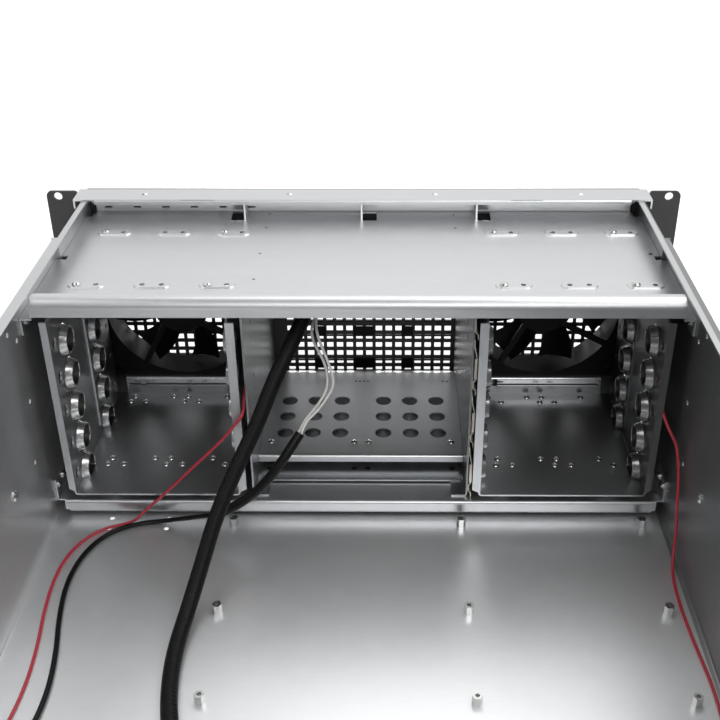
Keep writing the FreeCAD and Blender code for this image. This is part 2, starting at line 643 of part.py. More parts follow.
spring_gauge = 0.5
spring_reach = 1.9
spring_foot = 16.5
spring_solids = []
for k in range(4):
    foot = spring_foot + k * S.bay_pitch
    far = bay_outer + spring_reach
    bowed = foot + 40 < cage_top
    path = [(bay_outer, foot + 40), (bay_outer, foot + 35), (far, foot + 26), (far, foot + 11)] if bowed else []
    path += [(bay_outer, foot + (8 if bowed else 15)), (bay_outer, foot + 4), (far, foot + 1.5), (far, foot - 1.5)]
    outline = folded(path, spring_gauge, 0.3)
    face = Part.Face(Part.Wire([edge.toShape() for edge in edges_of(outline)]))
    face.rotate(V(0, 0, 0), V(1, 0, 0), 90)
    face.translate(V(0, y_at(S.bay_rear - 14), 0))
    leaf = face.extrude(V(0, -15.5, 0))
    if bowed:
        edge_strip = Part.makeBox(spring_gauge + 1.2, 0.6, 15, V(far - 1.2, y_at(S.bay_rear + 1.5), foot + 11))
        leaf = leaf.fuse(edge_strip).removeSplitter()
    spring_solids.append(leaf)
feature_node("bay_springs", spring_solids)

# ---- the front panel with its windows, the square mesh behind them, and the rack ears -------------------

panel_half = S.front_half - S.slip_gap
panel = new_body("front_panel")
side_window = S.fan_bore + 1
io_high = S.case_height - S.io_drop
io_low = io_high - S.io_height
window_low = S.base_top + 2.5
window_high = io_low - 8
window_half = S.bay_half - S.window_inset
windows = []
for side in (-1, 1):
    centre = side * S.cage_centre
    windows.append(rectangle(centre - side_window, fan_height - side_window - 9, centre + side_window,
                             fan_height + side_window - 1, 3))
bars = [(S.bar_first + 3 * k * S.mesh_pitch_z, S.bar_height) for k in range(4)]
bars.insert(2, (S.bar_first + 4.6 * S.mesh_pitch_z, S.crossbar_height))
low = window_low
for middle, height in bars:
    windows.append(rectangle(-window_half, low, window_half, middle - height / 2))
    low = middle + height / 2
windows.append(rectangle(-window_half, low, window_half, window_high))
io_middle = (io_low + io_high) / 2
power_x = -45.0
reset_x = -24.0
led_places = (-12.0, -5.0)
usb_places = (18.0, 40.0)
usb_half = 7.1
usb_rise = 3.4
openings = [(power_x, io_middle, S.power_radius + S.slip_gap), (reset_x, io_middle, S.reset_radius + S.slip_gap)]
openings += [(x, io_middle, 1.7) for x in led_places]
openings += [rectangle(x - usb_half - 0.2, io_middle - usb_rise - 0.2, x + usb_half + 0.2,
                       io_middle + usb_rise + 0.2) for x in usb_places]
outline = rectangle(-panel_half, S.slip_gap, panel_half, S.case_height - S.slip_gap)
pad_back(panel, "-ear_gauge", [outline] + windows + openings, "ear_gauge")


def grille(name, centre, low, high, half, columns, tall):
    """A sheet of upright gaps, each as tall as the given number of mesh rows."""
    body = new_body(name)
    start = S.mesh_first
    while start - S.mesh_hole_z / 2 < low + 1:
        start += S.mesh_pitch_z
    rows = int((high - start - S.mesh_hole_z / 2 - 1 + S.mesh_pitch_z) / (S.mesh_pitch_z * tall))
    gaps = []
    for i in range(columns):
        x = centre + (i - (columns - 1) / 2) * S.mesh_pitch_x
        for j in range(rows):
            z = start + j * tall * S.mesh_pitch_z
            gaps.append(rectangle(x - S.mesh_hole_x / 2, z - S.mesh_hole_z / 2, x + S.mesh_hole_x / 2,
                                  z + (tall - 1) * S.mesh_pitch_z + S.mesh_hole_z / 2))
    frame = rectangle(centre - half, low, centre + half, high)
    pad_back(body, "0", [frame] + gaps, "mesh_gauge")
    return body


grille_reach = side_window + 2
for side_name, centre in (("left", -S.cage_centre), ("right", S.cage_centre)):
    grille(side_name + "_grille", centre, fan_height - side_window - 12, fan_height + side_window + 1,
           grille_reach, 14, 2)
grille("middle_grille", 0, window_low - 2, window_high + 3, S.bay_half, 18, 2)

# Plastic clips that hold the dust filter against the inside of the mesh.
clip_height = 8.6
clip_thick = 1.5
clips = []
for level in (S.mesh_first + S.mesh_pitch_z - 1.7, S.mesh_first + 5 * S.mesh_pitch_z - 2.2):
    for x, wide in ((-36.0, 9.6), (0, 17.5), (35.2, 9.6)):
        clips.append(Part.makeBox(wide, clip_thick, clip_height, V(x - wide / 2, y_at(S.mesh_gauge + clip_thick),
                                                                  level - clip_height / 2)))
feature_node("mesh_clips", clips)


def rack_ear(name, side):
    """An angle: the plate that bolts to the rack, and the leg along the recessed side wall."""
    body = new_body(name)
    inner = S.front_half
    tip = S.panel_width / 2
    low = (S.case_height - S.ear_height) / 2
    high = low + S.ear_height
    step = inner + S.ear_notch
    plate = [(inner, low + 5), (step, low + 5), (step, low, 2.5), (tip, low, 4), (tip, high, 4),
             (step, high, 2.5), (step, high - 5), (inner, high - 5)]
    holes = [(S.rack_hole_x, S.case_height / 2 + level * S.rack_hole_span / 2, S.rack_hole_radius)
             for level in (-1, 1)]
    holes += [(S.rack_hole_x, S.case_height / 2 + level * 38.1, S.rack_hole_radius) for level in (-1, 1)]
    leg = rectangle(inner, low + 5, inner + S.ear_gauge, high - 5)
    loops = [plate] + holes
    if side < 0:
        loops = [mirrored_x(loop) for loop in loops]
        leg = mirrored_x(leg)
    pad_back(body, "-ear_gauge", loops, "ear_gauge")
    pad_back(body, "-ear_gauge", [leg], "joggle_depth")
    return body


rack_ear("left_ear", -1)
rack_ear("right_ear", 1)

# ---- switches, lamps and ports on a board behind the front panel ---------------------------------------

bracket = new_body("io_bracket")
bracket_half_x = 66.0
bracket_path = [(-bracket_half_x, y_at(0)), (-bracket_half_x, y_at(S.io_depth)),
                (bracket_half_x, y_at(S.io_depth)), (bracket_half_x, y_at(0))]
pad(bracket, "XY_Plane", "case_height - io_drop - io_height",
    [folded(bracket_path, gauge, S.bend_radius)], "io_height")
pocket(bracket, "XZ_Plane", "io_depth - " + FRONT,
       [rectangle(-55, io_low + 6, 52, io_high - 6, 2)], "4 * sheet_gauge")

stem_end = 8.0
board = new_body("io_board")
pad_back(board, "io_depth", [rectangle(-60, io_low + 2, 58, io_high - 2, 1)], "board_gauge")
actuators = [rectangle(x - 4, io_middle - 4, x + 4, io_middle + 4) for x in (power_x, reset_x)]
pad_back(board, "9.8", actuators, "io_depth - 9.8 + board_gauge / 2")
sockets = [rectangle(-43, io_middle + 4, -23, io_middle + 13), rectangle(-20, io_middle + 4, -12, io_middle + 13)]
pad_back(board, "io_depth + board_gauge / 2", sockets, "7 + board_gauge / 2")


def push_button(name, x, radius):
    """A cap that fills its hole in the panel, a collar behind the panel and a stem to the switch."""
    outline = [(0, -S.ear_gauge), (radius - 0.4, -S.ear_gauge), (radius, 0.4 - S.ear_gauge),
               (radius, S.slip_gap), (radius + 1.2, S.slip_gap), (radius + 1.2, 1.4), (2.0, 1.4),
               (2.0, stem_end), (0, stem_end)]
    return feature_node(name, [turned(outline, V(x, y_at(0), io_middle), V(0, -1, 0))])


push_button("power_button", power_x, S.power_radius)
push_button("reset_button", reset_x, S.reset_radius)
lens = [(0, -S.ear_gauge), (1.3, -S.ear_gauge), (1.6, 0.4 - S.ear_gauge), (1.6, S.io_depth), (0, S.io_depth)]
feature_node("lamp_lenses", [turned(lens, V(x, y_at(0), io_middle), V(0, -1, 0)) for x in led_places])


def usb_port(x):
    """A stamped shell with its tongue, open to the front."""
    shell = Part.makeBox(2 * usb_half, S.io_depth + 1, 2 * usb_rise,
                         V(x - usb_half, y_at(S.io_depth), io_middle - usb_rise))
    inside = Part.makeBox(2 * usb_half - 1.2, S.io_depth - 1, 2 * usb_rise - 1.2,
                          V(x - usb_half + 0.6, y_at(S.io_depth - 3), io_middle - usb_rise + 0.6))
    tongue = Part.makeBox(10.4, 9, 1.6, V(x - 5.2, y_at(S.io_depth - 2.5), io_middle + 0.6))
    return shell.cut(inside).fuse(tongue)


feature_node("usb_ports", [usb_port(x) for x in usb_places])

# ---- the expansion slots ---------------------------------------------------------------------------------

rear_inside = S.body_depth - gauge
slot_middle = S.slot_first + (S.slot_count - 1) * S.slot_pitch / 2
slot_top = 128.0
cover_gauge = 0.8
rail = new_body("slot_rail")
rail_half = S.slot_count * S.slot_pitch / 2 + 0.5
rail_path = [(y_at(rear_inside - 11), slot_top), (y_at(rear_inside - cover_gauge - 0.1), slot_top),
             (y_at(rear_inside - cover_gauge - 0.1), slot_top + 8)]
pad(rail, "YZ_Plane", "slot_first + (slot_count - 1) * slot_pitch / 2 - %s" % rail_half,
    [folded([(y, z) for y, z in rail_path[:2]], gauge, 0)], "2 * %s" % rail_half)
rail_ends = [rectangle(slot_middle + side * (rail_half - gauge), slot_top - 14,
                       slot_middle + side * rail_half, slot_top) for side in (-1, 1)]
pad_back(rail, "body_depth - sheet_gauge - 11", rail_ends, "11")
covers = []
cover_screws = []
for k in range(int(S.slot_count)):
    x = S.slot_first + k * S.slot_pitch
    width = 18.4
    back = y_at(rear_inside)
    blank = Part.makeBox(width, cover_gauge, slot_top + cover_gauge - 14, V(x - width / 2, back, 14))
    tab = Part.makeBox(width, 11, cover_gauge, V(x - width / 2, back, slot_top))
    hole = Part.makeCylinder(1.9, 3, V(x + 4, back + 6, slot_top - 1))
    covers.append(blank.fuse(tab).cut(hole).removeSplitter())
    pan = [(0, 0), (1.6, 0), (1.6, cover_gauge), (3.2, cover_gauge), (2.5, cover_gauge + 2), (0, cover_gauge + 2)]
    cover_screws.append(turned(pan, V(x + 4, back + 6, slot_top), V(0, 0, 1)))
feature_node("slot_covers", covers)
feature_node("slot_screws", cover_screws)

# ---- screws, rivets and standoffs ---------------------------------------------------------------------------


def pan_head(place, way, shank_length, head=None):
    """A pan-head screw: the place is under its head, the way points out of the head."""
    wide = head or S.screw_head
    outline = [(0, 0), (wide, 0), (wide, 0.8), (wide - 1.0, 1.7), (0, 1.7)]
    if shank_length > 0.5:
        outline[:1] = [(0, -shank_length), (1.45, -shank_length), (1.45, 0)]
    return turned(outline, place, way)


pad_top = tray_top + S.pad_rise
feature_node("tray_screws", [pan_head(V(pad_columns[k] - screw_offset, y_at(depth), pad_top), V(0, 0, 1), 2.0)
                             for k in (0, 2, 3, 5) for depth in pad_rows])
dome = [(0, 0), (S.rivet_head, 0), (S.rivet_head * 0.6, 0.8), (0, 0.8)]
feature_node("roof_rivets", [turned(dome, V(x, y_at(9), S.case_height), V(0, 0, 1)) for x in roof_rivets])
lug_face = wall_inside - S.slip_gap - gauge
base_screws = [pan_head(V(side * lug_face, y_at(depth), 24), V(-side, 0, 0), 0.2)
               for side in (-1, 1) for depth in (155, 166)]
feature_node("base_screws", base_screws)
wall_screws = []
for side in (-1, 1):
    wall_screws.append(pan_head(V(side * wall_inside, y_at(238.5), 69), V(-side, 0, 0), 0.2, 3.4))
    wall_screws.append(pan_head(V(side * lug_face, y_at(168), tray_top - 6), V(-side, 0, 0), 0.2))
feature_node("wall_screws", wall_screws)
ear_face = S.front_half + S.ear_gauge
feature_node("ear_screws", [pan_head(V(side * ear_face, y_at(depth), level), V(side, 0, 0), 0.2, 3.4)
                            for side in (-1, 1) for depth in (20, 66) for level in (38, 138)])


def standoff(x, depth):
    """A hexagonal standoff with a threaded hole in its top."""
    corners = [V(x + 3.1 * math.cos(math.radians(60 * k)), y_at(depth) + 3.1 * math.sin(math.radians(60 * k)),
                 gauge) for k in range(7)]
    prism = Part.Face(Part.makePolygon(corners)).extrude(V(0, 0, S.standoff_height))
    return prism.cut(Part.makeCylinder(1.35, 5, V(x, y_at(depth), gauge + S.standoff_height - 4.5)))


feature_node("standoffs", [standoff(x, depth) for x in board_columns for depth in board_rows])

# ---- leads: limp cords from the switches and the fans to their plugs --------------------------------------
# Routes are rows of X, depth and Z.  A cord is straight runs joined by tangent arcs.


def route_points(route):
    """The route in the part's frame."""
    return [V(x, y_at(depth), z) for x, depth, z in route]


def cord(name, diameter, route):
    """One round tube; its arcs are as large as the runs beside them allow."""
    points = route_points(route)
    edges = []
    radii = []
    start = points[0]
    for before, at, after in zip(points, points[1:], points[2:]):
        arriving = at.sub(before)
        leaving = after.sub(at)
        reach = 0.45 * min(arriving.Length, leaving.Length)
        half_turn = arriving.getAngle(leaving) / 2
        radius = reach / math.tan(half_turn)
        arriving.normalize()
        leaving.normalize()
        inward = leaving.sub(arriving)
        inward.normalize()
        first = at.sub(arriving * reach)
        middle = at.add(inward * (radius / math.cos(half_turn) - radius))
        last = at.add(leaving * reach)
        edges.append(Part.LineSegment(start, first).toShape())
        edges.append(Part.Arc(first, middle, last).toShape())
        radii.append(radius)
        start = last
    edges.append(Part.LineSegment(start, points[-1]).toShape())
    wire = Part.Wire(edges)
    circle = Part.Circle(points[0], points[1].sub(points[0]), diameter / 2)
    tube = wire.makePipeShell([Part.Wire([circle.toShape()])], True, False)
    section = math.pi * diameter ** 2 / 4
    if abs(tube.Volume / (section * wire.Length) - 1) > 0.01:
        raise RuntimeError(name + ": the tube's volume is not its section times its length")
    print("%s: length %.1f, radii %s" % (name, wire.Length, " ".join("%.0f" % r for r in radii)))
    return feature_node(name, [tube])


def plug(name, route, across, tall, long):
    """A plug on the end of a route, face to face with the cord."""
    points = route_points(route)
    along = points[-1].sub(points[-2])
    along.normalize()
    body = Part.makeBox(across, long, tall, V(-across / 2, 0, -tall / 2))
    rib = Part.makeBox(across * 0.4, long * 0.6, 0.8, V(-across * 0.2, long * 0.2, tall / 2))
    solid = body.fuse(rib).removeSplitter()
    flat = V(along.x, along.y, 0)
    solid.Placement = FreeCAD.Placement(points[-1], FreeCAD.Rotation(V(0, 1, 0), flat))
    return feature_node(name, [solid])


sleeve_rest = gauge + S.sleeve_diameter / 2
io_route = [(-33, S.io_depth + 8.6, 142.5), (-33, 50, 143.5), (-33.2, 92, 149), (-34, 133, 151),
            (-38.5, 162, 139.5), (-49, 181, 118), (-62, 196, 97), (-76.5, 213, 72.5), (-88.5, 232, 49),
            (-97.5, 253, 25.5), (-104, 278, 9.5), (-107, 306, sleeve_rest), (-105, 339, sleeve_rest),
            (-98, 370, sleeve_rest), (-94.5, 398, sleeve_rest), (-95.5, 424, sleeve_rest)]
cord("io_cable", S.sleeve_diameter, io_route)
plug("io_plug", io_route, 24.0, 9.6, 14.0)

pair_a = [(-17.2, S.io_depth + 8.6, 142.5), (-18, 42, 143.5), (-21.5, 76, 148.5), (-25, 112, 150),
          (-27, 140, 148.5), (-26.5, 156, 141), (-22.5, 166, 127), (-18, 171.5, 110), (-20, 175.4, 99),
          (-25.5, 178.6, 92), (-32.4, 181.2, 86.1), (-37.2, 185.9, 80)]
pair_b = [(-14.8, S.io_depth + 8.6, 142.5), (-15.5, 42, 143), (-17.5, 76, 145), (-23, 110, 146),
          (-28.5, 136, 143), (-32.5, 153, 135.5), (-31, 164, 120), (-29.5, 170.5, 106.5),
          (-30.3, 175.2, 96), (-34.2, 179.4, 86.1), (-39, 184.1, 80)]
shrink_route = [(-38.1, 185, 80), (-46.6, 193.4, 69.2), (-56.5, 199.5, 56.4), (-67.4, 203, 45.3),
                (-77.5, 204.6, 37.9), (-86, 204, 32), (-93, 202, 26.5)]
lead_rest = gauge + S.lead_diameter / 2
lead_route = [(-93, 202, 26.5), (-99.9, 200, 21.1), (-108.5, 195.5, 14.2), (-117.5, 190, 8.3),
              (-127.5, 184, 4), (-138.5, 181, lead_rest), (-150.5, 183, lead_rest),
              (-161.5, 187.2, lead_rest), (-172, 194.5, lead_rest), (-180, 206, lead_rest),
              (-186, 223, lead_rest), (-188, 247, lead_rest), (-184.5, 276, lead_rest),
              (-178, 307, lead_rest), (-175, 338, lead_rest), (-178, 368, lead_rest),
              (-184, 394, lead_rest), (-186, 416, lead_rest)]
cord("switch_wire_a", S.wire_diameter, pair_a)
cord("switch_wire_b", S.wire_diameter, pair_b)
cord("wire_sleeve", S.shrink_diameter, shrink_route)
cord("switch_lead", S.lead_diameter, lead_route)
plug("switch_plug", lead_route, 5.2, 2.8, 14.0)

fan_rest = gauge + S.fan_wire / 2
plug_rest = fan_rest + 2.2
left_route = [(-80.4, S.fan_rear, 83), (-78.6, 59, 85.5), (-77.4, 84, 90), (-76.9, 116, 94.5),
              (-76.6, 149, 96.5), (-76.3, 168.5, 96.4), (-73.9, 182.9, 93.4), (-84, 183.8, 85.5),
              (-96, 184.3, 71.5), (-113, 184.6, 52), (-132, 184, 30.5), (-146.5, 183.2, 14.5),
              (-155.5, 183.1, 5), (-164.5, 183.8, fan_rest), (-175, 187.5, fan_rest),
              (-186, 197.5, fan_rest), (-194, 213, fan_rest), (-197.5, 234, fan_rest),
              (-196.5, 264, fan_rest), (-191.5, 298, fan_rest), (-189.5, 332, fan_rest),
              (-192.5, 364, fan_rest), (-197, 390, fan_rest), (-198, 412, plug_rest)]
right_route = [(196.8, S.fan_rear, 84), (199.3, 57, 86), (201.8, 80, 90), (203, 112, 94.5),
               (202.8, 143, 96.7), (201, 168, 96), (201, 182, 91.3), (204.6, 187, 83.5),
               (208.2, 191, 76), (209.6, 196.5, 67.5), (209.9, 202, 57), (209.7, 207.5, 42),
               (209.2, 213, 24.5), (208.5, 217.5, 11), (206.8, 224.5, 3.4), (204.5, 238, fan_rest),
               (203.3, 262, fan_rest), (204.5, 294, fan_rest), (207, 328, fan_rest),
               (205.5, 360, fan_rest), (201, 388, fan_rest), (199.5, 412, plug_rest)]
cord("left_fan_lead", S.fan_wire, left_route)
plug("left_fan_plug", left_route, 8.0, 5.6, 12.0)
cord("right_fan_lead", S.fan_wire, right_route)
plug("right_fan_plug", right_route, 8.0, 5.6, 12.0)

doc.recompute()
for item in doc.Objects:
    if "Invalid" in item.State or "Error" in item.State:
        raise RuntimeError("%s is %s" % (item.Name, item.State))
for item in nodes:
    if item.Shape.isNull() or not item.Shape.isValid():
        raise RuntimeError(item.Label + ": its shape is null or not valid")
for item in nodes:
    item.Shape.exportStep("parts/%s.step" % item.Label)
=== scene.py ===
import math

import bmesh
import bpy
from mathutils import Matrix, Vector


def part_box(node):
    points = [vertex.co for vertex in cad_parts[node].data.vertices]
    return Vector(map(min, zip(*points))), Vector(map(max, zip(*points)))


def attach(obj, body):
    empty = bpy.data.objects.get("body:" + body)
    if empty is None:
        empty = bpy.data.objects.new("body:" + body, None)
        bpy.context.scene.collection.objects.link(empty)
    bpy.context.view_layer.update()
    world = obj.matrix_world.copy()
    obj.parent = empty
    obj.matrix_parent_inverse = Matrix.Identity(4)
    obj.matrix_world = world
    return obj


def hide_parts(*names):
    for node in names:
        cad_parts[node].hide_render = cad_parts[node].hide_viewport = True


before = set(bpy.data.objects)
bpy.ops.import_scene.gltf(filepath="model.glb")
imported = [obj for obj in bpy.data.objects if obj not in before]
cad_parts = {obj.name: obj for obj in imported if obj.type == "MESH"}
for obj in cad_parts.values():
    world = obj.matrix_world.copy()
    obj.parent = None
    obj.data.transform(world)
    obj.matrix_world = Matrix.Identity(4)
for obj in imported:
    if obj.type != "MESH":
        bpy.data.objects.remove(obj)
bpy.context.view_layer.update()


# ---- the folded case: floor, walls and rear panel ------------------------------------------------------
# Zinc-plated sheet steel, 1.2 mm, folded into one tub with a rear panel set between its walls.
# The finish is satin, with soft clouds from the plating bath, a fine rolled grain and faint rub marks.
# Its tone is painted paler on the floor than on the walls, and darkest on the right wall, as painted shade.

class Flow:
    """A node's output that can be added, subtracted and multiplied."""

    def __init__(self, finish, socket):
        self.finish = finish
        self.socket = socket

    def reckon(self, operation, first, second):
        return self.finish.node("ShaderNodeMath", {"operation": operation}, {0: first, 1: second})

    def __add__(self, other):
        return self.reckon("ADD", self, other)

    def __radd__(self, other):
        return self.reckon("ADD", other, self)

    def __sub__(self, other):
        return self.reckon("SUBTRACT", self, other)

    def __rsub__(self, other):
        return self.reckon("SUBTRACT", other, self)

    def __mul__(self, other):
        return self.reckon("MULTIPLY", self, other)

    def __rmul__(self, other):
        return self.reckon("MULTIPLY", other, self)


class NodeTree:
    """A tree of shader nodes and the one way in which a node is added to it."""

    def __init__(self, tree):
        self.tree = tree

    def plug(self, socket, value):
        if isinstance(value, Flow):
            self.tree.links.new(value.socket, socket)
        elif isinstance(value, tuple) and len(value) == 3 and socket.type == "RGBA":
            socket.default_value = (*value, 1.0)
        else:
            socket.default_value = value

    def node(self, kind, settings, inputs, output=0):
        item = self.tree.nodes.new(kind)
        for key, value in settings.items():
            setattr(item, key, value)
        for key, value in inputs.items():
            self.plug(item.inputs[key], value)
        return Flow(self, item.outputs[output])

    def span(self, value, start, end, low=0.0, high=1.0):
        """The value carried from one range over to another, and held at its ends."""
        return self.node("ShaderNodeMapRange", {}, {"Value": value, "From Min": start, "From Max": end,
                                                    "To Min": low, "To Max": high})

    def along(self, vector, axis):
        return self.node("ShaderNodeSeparateXYZ", {}, {"Vector": vector}, axis)


class Finish(NodeTree):
    """A material that is built up from procedural nodes."""

    def __init__(self, name):
        self.material = bpy.data.materials.new(name)
        self.material.use_nodes = True
        super().__init__(self.material.node_tree)
        self.shader = self.tree.nodes["Principled BSDF"]
        self.place = self.node("ShaderNodeTexCoord", {}, {}, "Object")

    def shade(self, **inputs):
        for key, value in inputs.items():
            self.plug(self.shader.inputs[key.replace("_", " ")], value)

    def noise(self, scale, detail=2.0, stretch=(1, 1, 1), seed=0.0):
        spot = self.node("ShaderNodeMapping", {}, {"Vector": self.place, "Scale": stretch,
                                                   "Location": (seed, 0.37 * seed, 0.71 * seed)})
        return self.node("ShaderNodeTexNoise", {}, {"Vector": spot, "Scale": scale, "Detail": detail},
                         "Fac")

    def blend(self, factor, first, second):
        return self.node("ShaderNodeMix", {"data_type": "RGBA"}, {0: factor, 6: first, 7: second}, 2)

    def bump(self, height, distance, strength=1.0):
        return self.node("ShaderNodeBump", {}, {"Height": height, "Distance": distance,
                                                "Strength": strength}, "Normal")


def dress(material, *names):
    """Gives the material to the nodes of the frame."""
    for name in names:
        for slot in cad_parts[name].material_slots:
            slot.material = material


def zinc_sheet(name, tone, roughness, seed, grain=(1, 1, 1), metal=0.93, painted_shades=()):
    """Plated sheet; a row of painted shade is an axis, its start and end, and the share of the tone left.
    """
    finish = Finish(name)
    # painted shade: the tone falls along each row's axis
    for axis, start, end, level in painted_shades:
        painted_fall = finish.span(finish.along(finish.place, axis), start, end, 1.0, level)
        tone = finish.blend(painted_fall, (0.0, 0.0, 0.0), tone)
    clouds = finish.noise(6.0, 3.0, seed=seed)
    mottle = finish.noise(95.0, 4.0, seed=seed + 3)
    rolled = finish.noise(520.0, 3.0, grain, seed + 7)
    scuffs = finish.noise(26.0, 2.0, (0.25, 1.0, 1.0), seed + 11)
    shade = 0.84 + clouds * 0.10 + (mottle - 0.5) * 0.12 + (rolled - 0.5) * 0.10
    rub = finish.span(scuffs, 0.64, 0.76)
    plain = finish.blend(0.55 + shade * 0.45, (0.0, 0.0, 0.0), tone)
    finish.shade(Base_Color=finish.blend(rub * 0.05, plain, (1.0, 1.0, 1.0)), Metallic=metal,
                 Roughness=roughness + (mottle - 0.5) * 0.06 + (clouds - 0.5) * 0.06 - rub * 0.01,
                 Normal=finish.bump(rolled + mottle * 0.5, 0.00002, 0.2))
    return finish.material


# painted shade: the walls are darker than the floor, and the right wall darkest
case_sheet = zinc_sheet("zinc_case", (0.84, 0.85, 0.86), 0.37, 0.0, (0.08, 1.0, 1.0), 0.80,
                        (("Z", 0.003, 0.012, 0.74), ("X", 0.2080, 0.2087, 0.46)))
dress(case_sheet, "chassis_tub", "rear_panel")


# ---- the roof strip and the tray over the bays ---------------------------------------------------------
# Two more folded sheets in the same plating.  The strip ties the walls together at the front, and the
# tray under it carries the tops of the cages; its rear edge is rolled for stiffness.

roof_sheet = zinc_sheet("zinc_roof", (0.68, 0.69, 0.70), 0.39, 5.0, (0.08, 1.0, 1.0))
# painted light: the tray is set much paler than the strip and falls off toward the rear, so its front part
# is painted lighter; its upturned front edge is painted darker as painted shade under the strip
tray_sheet = zinc_sheet("zinc_tray", (0.95, 0.965, 0.98), 0.39, 5.0, (0.08, 1.0, 1.0), 0.93,
                        (("Y", 0.235, 0.19, 0.725), ("Y", 0.240, 0.246, 0.68)))
dress(roof_sheet, "roof_strip")
dress(tray_sheet, "top_tray")


# ---- the drive cages, the middle bay and the plates that carry them ------------------------------------
# Zinc-plated sheets, punched and drawn, screwed and hooked together.  Drawn collars in the cage walls
# take the drives' rubber mounts, and the cage floors have screw holes with raised rims.  The plate under
# the bays ends in a rail with a small rolled hem that comes down to the floor.

# painted shade: the cages' tone falls toward the front panel, and is darkest on the right cage's outer wall
cage_sheet = zinc_sheet("zinc_cages", (0.60, 0.612, 0.625), 0.31, 11.0, (1.0, 0.3, 0.12), 0.93,
                        (("X", 0.185, 0.1925, 0.36), ("Y", 0.13, 0.19, 0.60)))
# painted shade: the middle bay's walls are set darker than the cages, and darker still on the right wall
bay_sheet = zinc_sheet("zinc_bay", (0.47, 0.48, 0.49), 0.32, 19.0, (1.0, 0.3, 0.12), 0.93,
                       (("X", 0.06, 0.07, 0.56),))
shelf_sheet = zinc_sheet("zinc_shelf", (0.76, 0.77, 0.785), 0.32, 11.0, (1.0, 0.3, 0.12))
# painted light and shade: the base plate's top is set paler, and its rail face and hem below it are painted
# darker
base_sheet = zinc_sheet("zinc_base", (0.80, 0.81, 0.825), 0.32, 11.0, (1.0, 0.3, 0.12), 0.93,
                        (("Z", 0.0138, 0.0128, 0.80),))
# painted shade: the plate under the shelf is set far darker than the other sheets
plate_sheet = zinc_sheet("zinc_plate", (0.31, 0.32, 0.335), 0.34, 11.0, (1.0, 0.3, 0.12))
dress(cage_sheet, "left_drive_cage", "right_drive_cage", "io_bracket", "slot_rail", "slot_covers")
dress(bay_sheet, "middle_cage_left_wall", "middle_cage_right_wall")
dress(shelf_sheet, "drive_shelf")
dress(base_sheet, "base_plate")
dress(plate_sheet, "middle_cage_plate")
# painted shade: the collars on the right cage's outer wall are painted darker
collar_sheet = zinc_sheet("zinc_collars", (0.70, 0.70, 0.70), 0.22, 17.0, (0.08, 1.0, 1.0), 0.93,
                          (("X", 0.12, 0.17, 0.52),))
# painted light: the brackets' tone is raised above the cages' sheet
bracket_sheet = zinc_sheet("zinc_brackets", (0.74, 0.75, 0.76), 0.21, 17.0, (0.08, 1.0, 1.0))
dress(bracket_sheet, "left_fan_bracket", "right_fan_bracket")

# depths are measured back from the rear face of the front panel
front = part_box("front_panel")[0][1]


def new_object(name, mesh, body, slot, *materials):
    """A piece that rides on a body and takes its finish from the given materials; the slot is not used."""
    piece = bpy.data.objects.new(name, mesh)
    bpy.context.scene.collection.objects.link(piece)
    for material in materials:
        mesh.materials.append(material)
    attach(piece, body)
    return piece


def sheet_mesh(name, work):
    """The finished mesh of a piece that was worked face by face."""
    bmesh.ops.recalc_face_normals(work, faces=work.faces[:])
    mesh = bpy.data.meshes.new(name)
    work.to_mesh(mesh)
    work.free()
    return mesh


def turned(name, places, way, profile, slot, material, low=0.0, turns=40):
    """Round pressings about a line: a profile's rows are the run along the line and the radius."""
    way = Vector(way)
    first = way.orthogonal().normalized()
    second = way.cross(first)
    work = bmesh.new()
    for place in places:
        rings = []
        for run, radius in profile:
            ring = []
            for k in range(turns):
                angle = 2 * math.pi * k / turns
                outward = math.cos(angle) * first + math.sin(angle) * second
                spot = Vector(place) + way * run + radius * outward
                ring.append(work.verts.new((spot.x, spot.y, max(spot.z, low))))
            rings.append(ring)
        for inner, outer in zip(rings, rings[1:]):
            for k in range(turns):
                work.faces.new((inner[k - 1], inner[k], outer[k], outer[k - 1]))
    bmesh.ops.dissolve_degenerate(work, dist=0.00002, edges=work.edges[:])
    mesh = sheet_mesh(name, work)
    for face in mesh.polygons:
        face.use_smooth = True
    return new_object(name, mesh, "case", slot, material)


cage_middle = 0.1384
cage_half = 0.05575
cage_floor = 0.026
first_drive = 0.0308
drive_pitch = 0.0254
drive_rows = [first_drive + drive_pitch * k for k in range(5)]
collar_depths = (0.1535, 0.0915)
flank = [(0.0, 0.0114), (0.0002, 0.01085), (0.0009, 0.01035), (0.0047, 0.00915), (0.00498, 0.00903),
         (0.00508, 0.00885), (0.00508, 0.0083), (0.00498, 0.00812), (0.0047, 0.00805)]
bore = [(0.0047, 0.00804), (0.002, 0.00798), (-0.0011, 0.00798)]
floor_rim = [(0.0, 0.0025), (0.0003, 0.0023), (0.0006, 0.0021), (0.0007, 0.0019), (0.0006, 0.0017),
             (-0.0011, 0.00165)]
